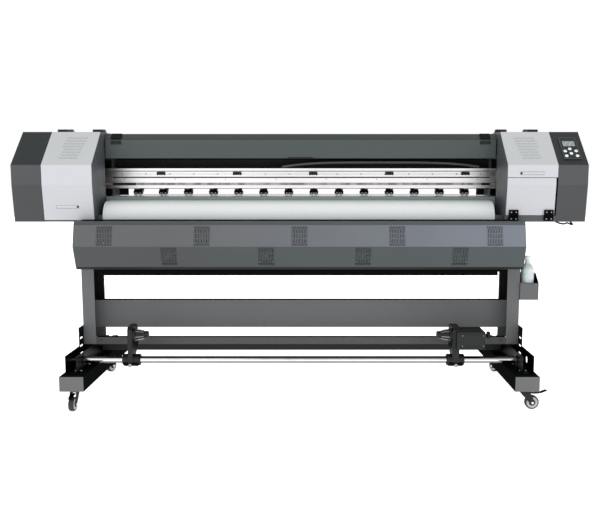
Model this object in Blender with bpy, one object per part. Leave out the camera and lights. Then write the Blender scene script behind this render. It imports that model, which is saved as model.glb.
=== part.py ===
"""Wide-format roll printer on a wheeled stand, with a front dryer and a take-up roll.

Lengths in this file are written in millimetres and turned into metres by the helpers.
+X is the machine's right as its operator faces it, +Y its back, +Z up.
The origin is on the floor, under the middle of the machine.
"""
import math

import bmesh
import bpy
from mathutils import Vector

MM = 0.001
GAP = 0.3                     # clearance between neighbouring pieces

# ---- driving dimensions -------------------------------------------------------------------
CAP_X = 1325.0                # outer face of the end caps
SEAM_X = 1187.0               # where the lids meet the end caps
WALL_X = 951.0                # inner face of the side plates
WALL = 3.0                    # thickness of frame sheet
SKIN = 2.5                    # thickness of cover sheet

FRONT_Y = -232.5              # front face of the machine body
REAR_Y = 232.5                # rear face of the machine body
SKIRT_Y = -212.5              # front face at the bottom of the body
BODY_Z = 856.0                # underside of the body
KNEE_Z = 1027.0               # where the front face starts to slope inwards, going down
CHAMFER_Z = 1118.0            # lower edge of the sloping top
CHAMFER_Y = -69.5             # upper edge of the sloping top
TOP_Z = 1276.0                # flat top of the body
REAR_CHAMFER = 17.5

DECK_Z = 885.0                # upper face of the base deck
COVER_Y = -32.5               # front face of the front cover and of the platen
COVER_BOTTOM_Z = 1152.0
COVER_HINGE_Z = 1241.5
PLATEN_Z = 966.0
ROOF_Z = 1270.0               # top of the cover between the housings

BEAM_Y = 97.5                 # front face of the carriage beam
BEAM_DEPTH = 62.5
BEAM_Z = (1003.0, 1104.0)
BEAM_X = 1180.0
RAIL_Z = (1066.0, 1086.0)
RAIL_Y = 85.5
CARRIAGE_X = 1068.0           # parked over the capping station
CARRIAGE_WIDTH = 172.0

FEED_Y = 95.0                 # feed roller and pinch rollers share this Y
FEED_R = 20.0
PINCH_R = 7.0
PINCH_PITCH = 126.5
PINCH_COUNT = 14
PINCH_SHAFT = (185.0, 1012.0)

COLUMN_X = (1008.0, 1068.7)
COLUMN_Y = (-82.5, 87.5)
FOOT_X = 1032.0
FOOT_WIDTH = 110.0
FOOT_Z = (98.0, 166.0)
FOOT_FRONT = -392.5
FOOT_BACK = 396.5
CHANNEL_X = (1021.0, 1072.0)
CHANNEL_Y = 346.5
CHANNEL_Z = (166.3, 244.0)
CHANNEL_REAR_Z = 212.0
RISER_FRONT = -146.0
RISER_Z = 339.0

ROD_R = 16.0
TAKEUP_Y = -232.5
TAKEUP_ROD_Z = 206.0
TAKEUP_AXIS_Z = 326.0
TAKEUP_BOX_END = 862.0
SUPPLY_Y = 232.5
SUPPLY_ROD_Z = 188.0

CASTER_X = 1038.0
CASTER_Y = 332.5
CASTER_TRAIL = 32.0
WHEEL_R = 32.0
WHEEL_WIDTH = 24.0

DRYER_X = 1029.0
DRYER_PROFILE = [(-225.0, 862.0), (-277.5, 862.0), (-287.5, 846.0), (-312.5, 750.0),
                 (-277.5, 653.0), (-267.5, 640.0), (-222.5, 640.0)]
DRYER_FAN = 72.0              # side of a square fan opening
FAN_UPPER = (797.0, (-888.0, -444.0, 0.0, 444.0, 888.0))
FAN_LOWER = (703.0, (-596.0, -152.0, 290.0, 732.0))

BODY_PROFILE = [(SKIRT_Y, BODY_Z), (FRONT_Y, KNEE_Z), (FRONT_Y, CHAMFER_Z), (CHAMFER_Y, TOP_Z),
                (REAR_Y - REAR_CHAMFER, TOP_Z), (REAR_Y, TOP_Z - REAR_CHAMFER), (REAR_Y, BODY_Z)]


# ---- materials ----------------------------------------------------------------------------
def material(name, colour, roughness, metallic):
    """A plain Principled material."""
    made = bpy.data.materials.new(name)
    made.use_nodes = True
    shader = made.node_tree.nodes["Principled BSDF"]
    shader.inputs["Base Color"].default_value = (*colour, 1.0)
    shader.inputs["Roughness"].default_value = roughness
    shader.inputs["Metallic"].default_value = metallic
    made.diffuse_color = (*colour, 1.0)
    return made


FINISHES = {
    "charcoal": ((0.045, 0.052, 0.054), 0.5, 0.0),
    "panel_grey": ((0.62, 0.63, 0.66), 0.45, 0.0),
    "stand_grey": ((0.13, 0.135, 0.14), 0.5, 0.3),
    "dryer_grey": ((0.15, 0.155, 0.165), 0.5, 0.2),
    "black": ((0.012, 0.012, 0.013), 0.5, 0.0),
    "white": ((0.8, 0.82, 0.82), 0.4, 0.0),
    "platen": ((0.16, 0.19, 0.18), 0.4, 0.5),
    "aluminium": ((0.75, 0.75, 0.76), 0.3, 1.0),
    "chrome": ((0.7, 0.7, 0.72), 0.12, 1.0),
    "button": ((0.75, 0.77, 0.78), 0.4, 0.0),
    "bottle": ((0.75, 0.78, 0.78), 0.35, 0.0),
    "tyre": ((0.03, 0.03, 0.03), 0.7, 0.0),
}


# ---- solids -------------------------------------------------------------------------------
def make_object(name, points, faces, finish=None):
    """A mesh object from points in millimetres, with its faces turned outwards."""
    mesh = bpy.data.meshes.new(name)
    mesh.from_pydata([[value * MM for value in point] for point in points], [], faces)
    work = bmesh.new()
    work.from_mesh(mesh)
    bmesh.ops.recalc_face_normals(work, faces=work.faces)
    work.to_mesh(mesh)
    work.free()
    made = bpy.data.objects.new(name, mesh)
    bpy.context.scene.collection.objects.link(made)
    if finish:
        mesh.materials.append(material(name, *FINISHES[finish]))
    return made


def in_space(axis, u, v, w):
    """Place a section's (u, v) and its height w along the axis: X takes (y, z), and so on."""
    return {"X": (w, u, v), "Y": (u, w, v), "Z": (u, v, w)}[axis]


def prism_mesh(outlines, axis):
    """Points and faces of prisms, each given as (outline, start, end)."""
    points = []
    faces = []
    for outline, start, end in outlines:
        count = len(outline)
        base = len(points)
        points += [in_space(axis, u, v, start) for u, v in outline]
        points += [in_space(axis, u, v, end) for u, v in outline]
        faces.append([base + i for i in range(count)])
        faces.append([base + count + i for i in range(count)])
        for i in range(count):
            j = (i + 1) % count
            faces.append([base + i, base + j, base + count + j, base + count + i])
    return points, faces


def prism(name, outline, axis, start, end, finish=None):
    """An outline pushed along one axis."""
    points, faces = prism_mesh([(outline, start, end)], axis)
    return make_object(name, points, faces, finish)


def rectangle(low_u, high_u, low_v, high_v):
    return [(low_u, low_v), (high_u, low_v), (high_u, high_v), (low_u, high_v)]


def boxes(name, ranges, finish=None):
    """One object holding a box for each ((x0, x1), (y0, y1), (z0, z1)); they stay apart."""
    solids = [(rectangle(*sorted(x), *y), z[0], z[1]) for x, y, z in ranges]
    points, faces = prism_mesh(solids, "Z")
    return make_object(name, points, faces, finish)


def sheet_outline(path, thickness):
    """The closed outline of a bent sheet; its thickness lies to the left of the path."""
    offset = []
    for i, point in enumerate(path):
        here = Vector(point)
        normals = []
        if i > 0:
            normals.append((here - Vector(path[i - 1])).normalized())
        if i < len(path) - 1:
            normals.append((Vector(path[i + 1]) - here).normalized())
        normals = [Vector((-run.y, run.x)) for run in normals]
        mean = sum(normals, Vector((0.0, 0.0))).normalized()
        offset.append(tuple(here + mean * thickness / mean.dot(normals[0])))
    return list(path) + offset[::-1]


def sheet(name, path, thickness, start, end, finish):
    """A bent sheet running along X."""
    return prism(name, sheet_outline(path, thickness), "X", start, end, finish)


def arc(centre, radius, first, last, steps):
    """Points of an arc, angles in degrees from the first axis."""
    angles = [math.radians(first + (last - first) * i / steps) for i in range(steps + 1)]
    return [(centre[0] + radius * math.cos(a), centre[1] + radius * math.sin(a)) for a in angles]


def turned(name, profile, origin, direction, segments, finish=None):
    """A solid of revolution; the closed profile holds (radius, height) pairs."""
    axis = Vector(direction).normalized()
    side = axis.orthogonal().normalized()
    other = axis.cross(side)
    points = []
    rings = []
    for radius, height in profile:
        centre = Vector(origin) + axis * height
        if radius == 0.0:
            rings.append([len(points)])
            points.append(centre)
            continue
        rings.append([len(points) + i for i in range(segments)])
        for i in range(segments):
            turn = 2.0 * math.pi * i / segments
            points.append(centre + (side * math.cos(turn) + other * math.sin(turn)) * radius)
    faces = []
    for first, second in zip(rings, rings[1:] + rings[:1]):
        if len(first) == 1 and len(second) == 1:
            continue
        for i in range(segments):
            j = (i + 1) % segments
            corners = [first[i % len(first)], first[j % len(first)],
                       second[j % len(second)], second[i % len(second)]]
            faces.append(list(dict.fromkeys(corners)))
    made = make_object(name, points, faces, finish)
    made.data.shade_smooth()
    made.data.set_sharp_from_angle(angle=math.radians(35.0))
    return made


def rod(name, origin, direction, radius, length, segments=24, finish=None):
    profile = [(0.0, 0.0), (radius, 0.0), (radius, length), (0.0, length)]
    return turned(name, profile, origin, direction, segments, finish)


def boolean(target, helper, operation):
    """Cut or join a hidden helper shape."""
    step = target.modifiers.new(helper.name, "BOOLEAN")
    step.operation = operation
    step.solver = "EXACT"
    step.object = helper
    helper.hide_render = True
    helper.display_type = "WIRE"


def cut(target, helper):
    boolean(target, helper, "DIFFERENCE")


def join(target, helper):
    boolean(target, helper, "UNION")


def pivot(target, place):
    """Move a piece's origin to a point on its joint's axis, leaving its shape in place."""
    shift = Vector(place) * MM
    for vertex in target.data.vertices:
        vertex.co -= shift
    target.location = shift
    return target


def sided(side, low, high):
    """A range on the right-hand side of the machine, mirrored when side is -1."""
    return (side * low, side * high) if side > 0 else (side * high, side * low)


def chamfer_point(x, along, height):
    """A point over the sloping top: along it from the lower edge, and height above it."""
    run = Vector((CHAMFER_Y - FRONT_Y, TOP_Z - CHAMFER_Z)).normalized()
    y = FRONT_Y + run.x * along - run.y * height
    z = CHAMFER_Z + run.y * along + run.x * height
    return (x, y, z)


SIDES = (("left", -1), ("right", 1))


# ---- stand --------------------------------------------------------------------------------
def build_feet():
    wall = WALL
    front, back = FOOT_FRONT + wall, FOOT_BACK - wall
    window = 240.0
    low, high = FOOT_Z
    cavity = [(front, high - wall), (front, low + wall), (-window, low + wall),
              (-window, low - wall), (window, low - wall), (window, low + wall),
              (back, low + wall), (back, high - wall)]
    for label, side in SIDES:
        x = sided(side, FOOT_X - FOOT_WIDTH / 2, FOOT_X + FOOT_WIDTH / 2)
        foot = boxes(f"{label}_foot", [(x, (FOOT_FRONT, FOOT_BACK), FOOT_Z)], "stand_grey")
        cut(foot, prism(f"{label}_foot_cavity", cavity, "X", x[0] + wall, x[1] - wall))


def build_arm_channels():
    low, high = CHANNEL_Z
    lip = high + 6.0
    outer = [(-CHANNEL_Y, low), (CHANNEL_Y, low), (CHANNEL_Y, 194.0), (255.0, CHANNEL_REAR_Z),
             (165.0, CHANNEL_REAR_Z), (125.0, 232.0), (125.0, RISER_Z), (RISER_FRONT, RISER_Z),
             (RISER_FRONT, lip), (-CHANNEL_Y, lip)]
    for label, side in SIDES:
        x = sided(side, *CHANNEL_X)
        channel = prism(f"{label}_arm_channel", outer, "X", x[0], x[1], "black")
        inner_x = CHANNEL_X[0]
        outer_x = CHANNEL_X[1]
        cut(channel, boxes(f"{label}_channel_hollow", [
            (sided(side, inner_x + WALL, outer_x - WALL), (-400.0, 400.0), (low + WALL, 400.0))]))
        cut(channel, boxes(f"{label}_channel_low_side", [
            (sided(side, inner_x - 5.0, inner_x + 10.0), (-400.0, 400.0), (high, 400.0))]))
        cut(channel, boxes(f"{label}_channel_slots", [
            (sided(side, outer_x - 10.0, outer_x + 10.0), (RISER_FRONT + 9.0, -94.0),
             (z - 5.0, z + 5.0)) for z in (209.0, 246.0, 284.0)]))
        for name, y, z in (("takeup", TAKEUP_Y, TAKEUP_ROD_Z), ("supply", SUPPLY_Y, SUPPLY_ROD_Z)):
            cut(channel, rod(f"{label}_{name}_hole", (side * (inner_x - 10.0), y, z),
                             (side, 0, 0), ROD_R + 0.6, 80.0))


def build_columns():
    low, high = COLUMN_X
    front, back = COLUMN_Y
    for label, side in SIDES:
        outline = [(low, front), (high, front), (high, back), (low, back), (low, back - WALL),
                   (high - WALL, back - WALL), (high - WALL, front + WALL), (low, front + WALL)]
        outline = [(side * x, y) for x, y in outline]
        prism(f"{label}_column", outline, "Z", CHANNEL_Z[1] + GAP, DECK_Z - WALL - GAP, "stand_grey")


def channel_bar(name, half_length, y, z, opens_back, finish):
    """A rolled channel along X, open at its back or at its front."""
    path = [(y[1], z[0]), (y[0], z[0]), (y[0], z[1]), (y[1], z[1])]
    if not opens_back:
        path = [(y[0], z[1]), (y[1], z[1]), (y[1], z[0]), (y[0], z[0])]
    outline = sheet_outline(path, -WALL)
    return prism(name, outline, "X", -half_length, half_length, finish)


def build_crossbars():
    channel_bar("main_crossbar", COLUMN_X[1] - WALL - GAP, (-5.5, 34.5), (313.0, 451.0), True,
                "stand_grey")
    channel_bar("front_lower_bar", COLUMN_X[0] - GAP, (COLUMN_Y[0], -52.5), (244.0, 279.0), True,
                "stand_grey")
    channel_bar("rear_lower_bar", CHANNEL_X[0] - GAP, (57.5, 87.5), (180.0, 240.0), True, "black")


def build_casters():
    """Swivel forks and wheels; each caster stands at its own angle."""
    angles = {("left", "front"): 270.0, ("right", "front"): 0.0,
              ("left", "rear"): 245.0, ("right", "rear"): 295.0}
    for (label, end), angle in angles.items():
        x = CASTER_X if label == "right" else -CASTER_X
        y = -CASTER_Y if end == "front" else CASTER_Y
        roll = Vector((math.cos(math.radians(angle)), math.sin(math.radians(angle)), 0.0))
        axle = Vector((-roll.y, roll.x, 0.0))
        centre = Vector((x, y, 0.0))
        name = f"{label}_{end}_fork"
        fork = rod(name, centre + Vector((0, 0, 84)), (0, 0, 1), 21.0, FOOT_Z[0] - GAP - 84.0,
                   finish="chrome")
        cheek = [(-19.0, 86.0), (19.0, 86.0), (CASTER_TRAIL + 8.0, 40.0), (CASTER_TRAIL + 8.0, 26.0),
                 (CASTER_TRAIL - 8.0, 26.0), (0.0, 52.0), (-19.0, 74.0)]
        crown = [(-19.0, 82.0), (19.0, 82.0), (19.0, 86.0), (-19.0, 86.0)]
        legs = []
        for low, high, outline in ((-16.0, -13.0, cheek), (13.0, 16.0, cheek),
                                   (-14.0, 14.0, crown)):
            legs.append((outline, low, high))
        for number, (outline, low, high) in enumerate(legs):
            points, faces = prism_mesh([(outline, low, high)], "Y")
            turned_points = [centre + roll * u + axle * v + Vector((0, 0, w)) for u, v, w in points]
            join(fork, make_object(f"{name}_leg_{number}", turned_points, faces))
        pivot(fork, (x, y, 90.0))
        hub = centre + roll * CASTER_TRAIL + Vector((0, 0, WHEEL_R))
        half = WHEEL_WIDTH / 2
        profile = [(0.0, -half), (18.0, -half), (20.0, -half + 2.5), (24.0, -half + 2.5),
                   (26.0, -half), (29.5, -half), (WHEEL_R, -half + 4.0), (WHEEL_R, half - 4.0),
                   (29.5, half), (26.0, half), (24.0, half - 2.5), (20.0, half - 2.5),
                   (18.0, half), (0.0, half)]
        pivot(turned(f"{label}_{end}_wheel", profile, hub, axle, 32, "tyre"), hub)


# ---- body ---------------------------------------------------------------------------------
def deck_outline(front, back):
    """Section of the base deck: a plate with its front and back edges turned down."""
    return [(front, BODY_Z), (front + WALL, BODY_Z), (front + WALL, DECK_Z - WALL),
            (back - WALL, DECK_Z - WALL), (back - WALL, BODY_Z), (back, BODY_Z),
            (back, DECK_Z), (front, DECK_Z)]


def build_base_deck():
    deck = prism("base_deck", deck_outline(-170.5, 205.0), "X", -WALL_X - 12.0, WALL_X + 12.0,
                 "charcoal")
    for label, side, front in (("left", -1, -205.0), ("right", 1, -214.5)):
        x = sided(side, WALL_X, SEAM_X - GAP)
        join(deck, prism(f"{label}_deck_end", deck_outline(front, REAR_Y - 5.0), "X", *x))


def build_side_plates():
    outline = [(SKIRT_Y - 3.4, DECK_Z + GAP)] + BODY_PROFILE[1:6] + [(REAR_Y, DECK_Z + GAP)]
    low, high = WALL_X, WALL_X + WALL
    for label, side in SIDES:
        x = sided(side, low, high)
        plate = prism(f"{label}_side_plate", outline, "X", x[0], x[1], "charcoal")
        reach = sided(side, low - 10.0, high + 10.0)
        cut(plate, boxes(f"{label}_carriage_window", [
            (reach, (COVER_Y, BEAM_Y - GAP), (968.0, COVER_BOTTOM_Z - 4.0))]))
        cut(plate, boxes(f"{label}_beam_window", [
            (reach, (BEAM_Y - 5.0, BEAM_Y + BEAM_DEPTH + GAP), (BEAM_Z[0] - GAP, BEAM_Z[1] + GAP))]))
        for name, y, z in (("feed", FEED_Y, PLATEN_Z - FEED_R), ("pinch", *PINCH_SHAFT)):
            cut(plate, rod(f"{label}_{name}_bearing", (side * (low - 10.0), y, z), (side, 0, 0),
                           8.6, 30.0))


def build_end_caps():
    inset = [(y + (WALL if y < 0 else -WALL), z) for y, z in BODY_PROFILE]
    inner = [(y, z - WALL if z > CHAMFER_Z + 1.0 else z) for y, z in inset]
    inner = [(y, z + WALL if z == BODY_Z else z) for y, z in inner]
    inner[3] = (CHAMFER_Y + 1.5, TOP_Z - WALL)
    inner[2] = (FRONT_Y + WALL, CHAMFER_Z - 1.2)
    for label, side in SIDES:
        x = sided(side, SEAM_X + GAP, CAP_X)
        cap = prism(f"{label}_end_cap", BODY_PROFILE, "X", x[0], x[1], "charcoal")
        hollow = sided(side, SEAM_X - 10.0, CAP_X - WALL)
        cut(cap, prism(f"{label}_end_cap_hollow", inner, "X", *hollow))


HINGE_Y = 17.5
HINGE_Z = 1285.0
KNUCKLE = [(9.7, 1285.0), (11.9, 1290.6), (17.5, 1293.0), (23.1, 1290.6), (40.0, 1281.0),
           (40.0, 1275.0), (19.0, 1275.0), (18.6, 1277.4), (11.9, 1279.4)]
KNUCKLES = {"left": ((-1165.0, -1113.0), (-1006.0, -957.0)), "right": ((957.0, 1006.0),
                                                                     (1088.0, 1140.0))}


def build_housing_shells():
    """The fixed top and back of each housing, with the lid hinges' knuckles on it."""
    path = [(REAR_Y, DECK_Z + GAP), (REAR_Y, TOP_Z - REAR_CHAMFER), (REAR_Y - REAR_CHAMFER, TOP_Z),
            (HINGE_Y + 1.0, TOP_Z)]
    for label, side in SIDES:
        x = sided(side, WALL_X + WALL + GAP, SEAM_X - GAP)
        shell = sheet(f"{label}_housing_shell", path, 2.0, x[0], x[1], "charcoal")
        for number, (start, end) in enumerate(KNUCKLES[label]):
            join(shell, prism(f"{label}_knuckle_{number}", KNUCKLE, "X", start, end))


def build_lids():
    """The left lid covers the whole front; the right one stops above a drop-down door."""
    top = [(HINGE_Y - 2.5, TOP_Z), (CHAMFER_Y, TOP_Z), (FRONT_Y, CHAMFER_Z)]
    fronts = {"left": [(FRONT_Y, KNEE_Z), (SKIRT_Y - 1.0, BODY_Z + 8.5)],
              "right": [(FRONT_Y, 1061.5)]}
    for label, side in SIDES:
        x = sided(side, WALL_X + WALL + 1.0, SEAM_X - 1.0)
        lid = sheet(f"{label}_lid", top + fronts[label], SKIN, x[0], x[1], "panel_grey")
        pivot(lid, (0.0, HINGE_Y, HINGE_Z))
    path = [(FRONT_Y, 1059.0), (FRONT_Y, KNEE_Z), (SKIRT_Y - 3.6, DECK_Z + 2.0)]
    door = sheet("right_door", path, SKIN, WALL_X + WALL + 1.0, SEAM_X - 8.0, "panel_grey")
    pivot(door, (0.0, SKIRT_Y - 9.5, DECK_Z + 1.0))


def build_covers():
    roof = [(COVER_Y, COVER_HINGE_Z + 1.0), (-2.5, ROOF_Z), (REAR_Y - REAR_CHAMFER, ROOF_Z),
            (REAR_Y, ROOF_Z - REAR_CHAMFER), (REAR_Y, 1010.0)]
    sheet("top_cover", roof, -2.0, -WALL_X + 0.5, WALL_X - 0.5, "charcoal")
    front = [(COVER_Y + 20.0, COVER_BOTTOM_Z), (COVER_Y, COVER_BOTTOM_Z),
             (COVER_Y, COVER_HINGE_Z - 0.5)]
    cover = sheet("front_cover", front, -2.0, -945.0, 945.0, "charcoal")
    pivot(cover, (0.0, COVER_Y - 1.0, COVER_HINGE_Z))


def build_media_path():
    """Platen, rear guide and the curved front apron with its stiffening bar."""
    platen = [(COVER_Y, DECK_Z + GAP), (COVER_Y, PLATEN_Z), (72.0, PLATEN_Z), (72.0, DECK_Z + GAP)]
    sheet("platen", platen, -WALL, -948.0, 948.0, "platen")
    guide = [(118.0, DECK_Z + GAP), (118.0, PLATEN_Z)]
    guide += arc((170.0, 916.0), 50.0, 90.0, 0.0, 6) + [(220.0, 880.0)]
    sheet("rear_guide", guide, -2.0, -945.0, 945.0, "white")
    apron = [(COVER_Y - 0.6, 949.7), (-87.5, 948.0)]
    apron += arc((-94.5, 868.0), 80.0, 100.0, 180.0, 12) + [(-167.5, 645.0)]
    sheet("front_apron", apron, 1.5, -928.0, 915.0, "white")
    bar = channel_bar("apron_bar", 938.0, (-168.5, -148.5), (598.0, 644.6), True, "black")
    join(bar, boxes("apron_bar_arms", [
        (sided(side, 930.0, 936.0), (-167.0, -76.0), (604.0, 638.0)) for side in (-1, 1)]))
    join(bar, boxes("apron_bar_ends", [
        (sided(side, 930.0, COLUMN_X[0] - GAP), (-82.0, -76.0), (604.0, 638.0)) for side in (-1, 1)]))


def build_dryer():
    """A folded case, open towards the media, with square fan openings in its front."""
    dryer = prism("dryer_housing", DRYER_PROFILE, "X", -DRYER_X, DRYER_X, "dryer_grey")
    inner = [(-200.0, 860.0), (-276.3, 860.0), (-285.7, 845.4), (-310.4, 750.0), (-275.7, 653.9),
             (-266.5, 642.0), (-200.0, 642.0)]
    cut(dryer, prism("dryer_hollow", inner, "X", -DRYER_X + 2.0, DRYER_X - 2.0))
    half = DRYER_FAN / 2
    openings = []
    for z, row in (FAN_UPPER, FAN_LOWER):
        openings += [((x - half, x + half), (-330.0, -250.0), (z - half, z + half)) for x in row]
    cut(dryer, boxes("dryer_fan_openings", openings))
    join(dryer, boxes("dryer_brackets", [
        (sided(side, 1012.0, 1018.0), (-240.0, COLUMN_Y[0] - GAP), (700.0, 800.0))
        for side in (-1, 1)]))
    join(dryer, boxes("dryer_rims", [
        (sided(side, 1000.0, DRYER_X - 1.0), (-228.0, -222.5), (690.0, 810.0)) for side in (-1, 1)]))


# ---- print mechanism ----------------------------------------------------------------------
def build_beam():
    """An extruded beam, open at its back, with grooves along its front."""
    low, high = BEAM_Z
    back = BEAM_Y + BEAM_DEPTH
    wall = 5.0
    front = [(BEAM_Y, low)]
    for z, depth, height in ((1041.0, 2.0, 3.0), (1059.0, 3.0, 4.0), (1091.0, 2.0, 3.0)):
        front += [(BEAM_Y, z - height / 2), (BEAM_Y + depth, z - height / 2),
                  (BEAM_Y + depth, z + height / 2), (BEAM_Y, z + height / 2)]
    front += [(BEAM_Y, high), (back, high), (back, high - wall), (BEAM_Y + wall, high - wall),
              (BEAM_Y + wall, low + wall), (back, low + wall), (back, low)]
    prism("beam", front, "X", -BEAM_X, BEAM_X, "aluminium")
    low, high = RAIL_Z
    face = BEAM_Y - GAP
    rail = [(RAIL_Y, low), (face, low + 3.0), (face, high - 3.0), (RAIL_Y, high),
            (RAIL_Y, high - 6.0), (RAIL_Y + 2.0, high - 8.0), (RAIL_Y + 2.0, low + 8.0),
            (RAIL_Y, low + 6.0)]
    prism("linear_rail", rail, "X", -BEAM_X + 5.0, BEAM_X - 5.0, "chrome")


def build_carriage():
    """The print carriage: a hooded box that reaches round the rail at its back."""
    half = CARRIAGE_WIDTH / 2
    low, high = RAIL_Z
    outline = [(-27.5, 986.0), (-17.5, 976.0), (70.0, 976.0), (82.0, 986.0), (82.0, low - 8.0),
               (92.0, low - 8.0), (92.0, low - 1.5), (RAIL_Y - 1.0, low - 1.5),
               (RAIL_Y - 1.0, high + 1.5), (92.0, high + 1.5), (92.0, high + 8.0),
               (60.0, 1140.0), (5.0, 1140.0), (-27.5, 1110.0)]
    carriage = prism("carriage", outline, "X", CARRIAGE_X - half, CARRIAGE_X + half, "black")
    pivot(carriage, (CARRIAGE_X, 80.0, 1060.0))
    for label, side in SIDES:
        place = (side * 1170.0, 74.0, 1018.0)
        profile = [(0.0, 0.0), (11.0, 0.0), (11.0, 2.0), (9.0, 3.0), (9.0, 13.0), (11.0, 14.0),
                   (11.0, 16.0), (0.0, 16.0)]
        name = "drive_pulley" if side > 0 else "idler_pulley"
        pivot(turned(name, profile, place, (0, 0, 1), 24, "aluminium"), place)


def build_capping_station():
    """The tray that the carriage parks over."""
    x0, x1 = CARRIAGE_X - 68.0, CARRIAGE_X + 68.0
    station = boxes("capping_station", [((x0, x1), (-25.0, 68.0), (DECK_Z + GAP, 972.0))], "black")
    cut(station, boxes("capping_well", [((x0 + 14.0, x1 - 14.0), (-11.0, 54.0), (950.0, 980.0))]))


def build_feed():
    """Driven feed roller, and the lifting bar with its spring-loaded pinch rollers."""
    axis_z = PLATEN_Z - FEED_R
    reach = WALL_X + 8.0
    body = WALL_X - 9.0
    profile = [(0.0, -reach), (8.0, -reach), (8.0, -body), (FEED_R, -body), (FEED_R, body),
               (8.0, body), (8.0, reach), (0.0, reach)]
    feed = turned("feed_roller", profile, (0, FEED_Y, axis_z), (1, 0, 0), 32, "aluminium")
    pivot(feed, (0.0, FEED_Y, axis_z))

    shaft_y, shaft_z = PINCH_SHAFT
    bar = rod("pinch_bar", (-reach, shaft_y, shaft_z), (1, 0, 0), 8.0, 2 * reach, 20, "black")
    centres = [(i - (PINCH_COUNT - 1) / 2) * PINCH_PITCH for i in range(PINCH_COUNT)]
    arm = [(shaft_y + 4.0, 1006.0), (shaft_y - 4.0, 1012.0), (166.0, 1000.5), (112.0, 991.0),
           (86.0, 991.0), (86.0, 982.5), (112.0, 982.5), (168.0, 986.0)]
    arms = prism_mesh([(arm, x - 9.5, x + 9.5) for x in centres], "X")
    join(bar, make_object("pinch_arms", *arms))
    heads = []
    for x in centres:
        heads.append(((x - 22.0, x + 22.0), (84.0, 108.0), (982.0, 992.0)))
    join(bar, boxes("pinch_heads", heads))
    cheeks = []
    for x in centres:
        for low, high in ((-22.0, -17.3), (-2.7, 2.7), (17.3, 22.0)):
            cheeks.append(((x + low, x + high), (87.0, 103.0), (976.6, 985.0)))
    join(bar, boxes("pinch_cheeks", cheeks))
    lever_x = -reach
    join(bar, boxes("pinch_lever", [((lever_x - 7.0, lever_x + 2.0), (178.0, 192.0),
                                     (1000.0, 1100.0))]))
    pivot(bar, (0.0, shaft_y, shaft_z))

    roller_z = PLATEN_Z + GAP + PINCH_R
    axle = 1.8
    profile = [(0.0, centres[0] - 24.0)]
    profile.append((axle, centres[0] - 24.0))
    for x in centres:
        for start, end in ((-17.0, -3.0), (3.0, 17.0)):
            profile += [(axle, x + start), (PINCH_R, x + start), (PINCH_R, x + end), (axle, x + end)]
    profile.append((axle, centres[-1] + 24.0))
    profile.append((0.0, centres[-1] + 24.0))
    rollers = turned("pinch_rollers", profile, (0, FEED_Y, roller_z), (1, 0, 0), 14, "white")
    pivot(rollers, (0.0, FEED_Y, roller_z))


# ---- take-up and supply -------------------------------------------------------------------
def bracket_outline(top):
    """A leg that grows from the clamp on the rod to a wide head, in (y, z)."""
    return [(-262.0, 196.0), (-205.0, 196.0), (-200.0, 226.0), (-150.0, 262.0), (-150.0, top - 18.0),
            (-172.0, top), (-250.0, top), (-262.0, top - 14.0)]


def clamp_ring(name, start, end, finish=None):
    """A split clamp, here a ring round the rod, from start to end along X."""
    bore = ROD_R + 0.5
    length = end - start
    profile = [(bore, 0.0), (25.0, 0.0), (27.0, 3.0), (27.0, length - 3.0), (25.0, length),
               (bore, length)]
    return turned(name, profile, (start, TAKEUP_Y, TAKEUP_ROD_Z), (1, 0, 0), 24, finish)


def mandrel(name, x, side):
    """A stepped plug that holds one end of a media core; side is the way it points."""
    profile = [(0.0, 0.0), (30.0, 0.0), (32.0, 2.0), (32.0, 11.0), (24.0, 14.0), (21.0, 34.0),
               (17.5, 50.0), (17.5, 66.0), (14.0, 71.0), (0.0, 71.0)]
    place = (x, TAKEUP_Y, TAKEUP_AXIS_Z)
    pivot(turned(name, profile, place, (side, 0, 0), 28, "black"), place)


def build_takeup():
    start = -1074.0
    rod("takeup_rod", (start, TAKEUP_Y, TAKEUP_ROD_Z), (1, 0, 0), ROD_R, 1040.0 - start,
        finish="chrome")

    ring = clamp_ring("takeup_left_bracket", -836.0, -754.0, "black")
    leg = prism("takeup_left_leg", bracket_outline(366.0), "X", -807.0, -784.0)
    cut(leg, rod("takeup_left_leg_bore", (-820.0, TAKEUP_Y, TAKEUP_ROD_Z), (1, 0, 0), 20.0, 50.0))
    join(ring, leg)
    pivot(ring, (-800.0, TAKEUP_Y, TAKEUP_ROD_Z))
    mandrel("takeup_left_mandrel", -784.0 + GAP, 1)

    ring = clamp_ring("takeup_motor_unit", 690.0, 772.0, "black")
    leg = prism("takeup_right_leg", bracket_outline(366.0), "X", 713.0, 746.0)
    cut(leg, rod("takeup_right_leg_bore", (700.0, TAKEUP_Y, TAKEUP_ROD_Z), (1, 0, 0), 20.0, 60.0))
    join(ring, leg)
    join(ring, boxes("takeup_motor_box", [((730.0, TAKEUP_BOX_END), (-278.0, -160.0), (265.0, 346.0))]))
    pivot(ring, (730.0, TAKEUP_Y, TAKEUP_ROD_Z))
    mandrel("takeup_right_mandrel", 713.0 - GAP, -1)

    place = (TAKEUP_BOX_END + GAP, TAKEUP_Y, TAKEUP_AXIS_Z - 3.0)
    profile = [(0.0, 0.0), (6.0, 0.0), (6.0, 16.0), (15.0, 17.0), (17.0, 19.0), (17.0, 29.0),
               (15.0, 31.0), (0.0, 31.0)]
    pivot(turned("takeup_knob", profile, place, (1, 0, 0), 24, "black"), place)

    half = CHANNEL_X[1] + 10.0
    profile = [(0.0, -half - 8.0), (20.0, -half - 8.0), (20.0, -half + 5.0), (ROD_R, -half + 5.0),
               (ROD_R, half - 5.0), (20.0, half - 5.0), (20.0, half + 8.0), (0.0, half + 8.0)]
    place = (0.0, SUPPLY_Y, SUPPLY_ROD_Z)
    pivot(turned("supply_rod", profile, place, (1, 0, 0), 24, "chrome"), place)


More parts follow.
